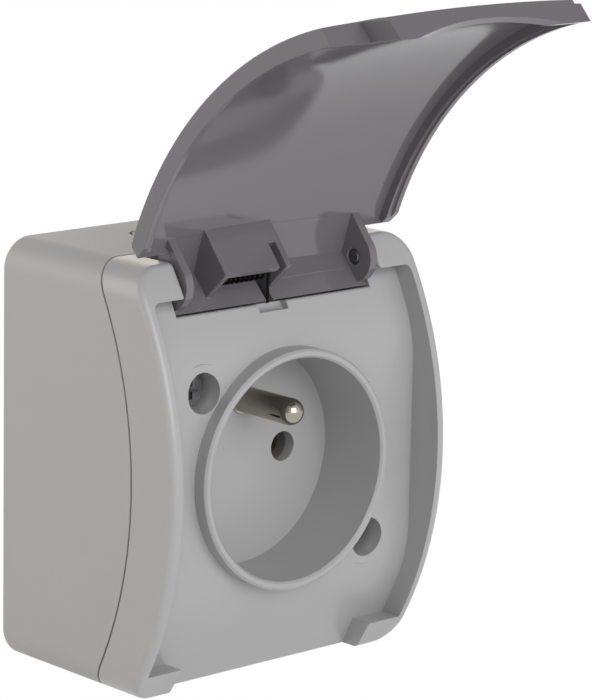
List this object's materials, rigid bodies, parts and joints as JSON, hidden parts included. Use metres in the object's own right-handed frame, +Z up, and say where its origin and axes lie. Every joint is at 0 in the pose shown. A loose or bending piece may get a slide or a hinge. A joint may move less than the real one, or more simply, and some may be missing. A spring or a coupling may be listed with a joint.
{
  "type": "weatherproof wall socket",
  "caption": "Surface-mounted outdoor socket outlet with a round plug well, an earth pin and a sprung hinged lid standing open over a curved front.",
  "frame": {"origin": "centre of the back face, on the wall", "axes": "+X to the right seen from the front, +Y back into the wall, +Z up"},
  "size_m": [0.0634, 0.0869, 0.1227],
  "materials": {
    "box_plastic": "warm light grey moulded ABS, fine texture",
    "cover_plastic": "warm light grey moulded ABS, satin",
    "lid_plastic": "dark grey moulded lid, semi-gloss",
    "carrier_plastic": "off-white moulded insulator",
    "gasket_rubber": "black seal",
    "grommet_rubber": "dark grey grommet",
    "screw_steel": "zinc-plated steel screw",
    "pin_steel": "blackened steel pin",
    "spring_steel": "bright drawn spring wire",
    "nickel_brass": "nickel-plated turned brass",
    "contact_brass": "plain brass"
  },
  "bodies": {
    "body": {"back_box": "box_plastic", "box_gasket": "gasket_rubber", "cable_grommet": "grommet_rubber", "front_cover": "cover_plastic", "cover_screws": "screw_steel", "hinge_pin_left": "pin_steel", "hinge_pin_right": "pin_steel", "lid_spring": "spring_steel", "earth_pin": "nickel_brass", "earth_strap": "contact_brass", "contact_base": "carrier_plastic", "contact_cover": "carrier_plastic", "live_contact": "contact_brass", "neutral_contact": "contact_brass", "contact_clips": "spring_steel", "live_terminal": "contact_brass", "neutral_terminal": "contact_brass", "earth_terminal": "contact_brass", "terminal_screws": "screw_steel", "base_screws": "screw_steel"},
    "lid_body": {"lid": "lid_plastic"}
  },
  "joints": [
    {"name": "lid_hinge", "type": "hinge", "parent": "body", "child": "lid_body", "pos_m": [0, -0.03345, 0.03387], "axis": [1, 0, 0], "range_deg": [0, 133], "deforming": ["lid_spring"]}
  ]
}
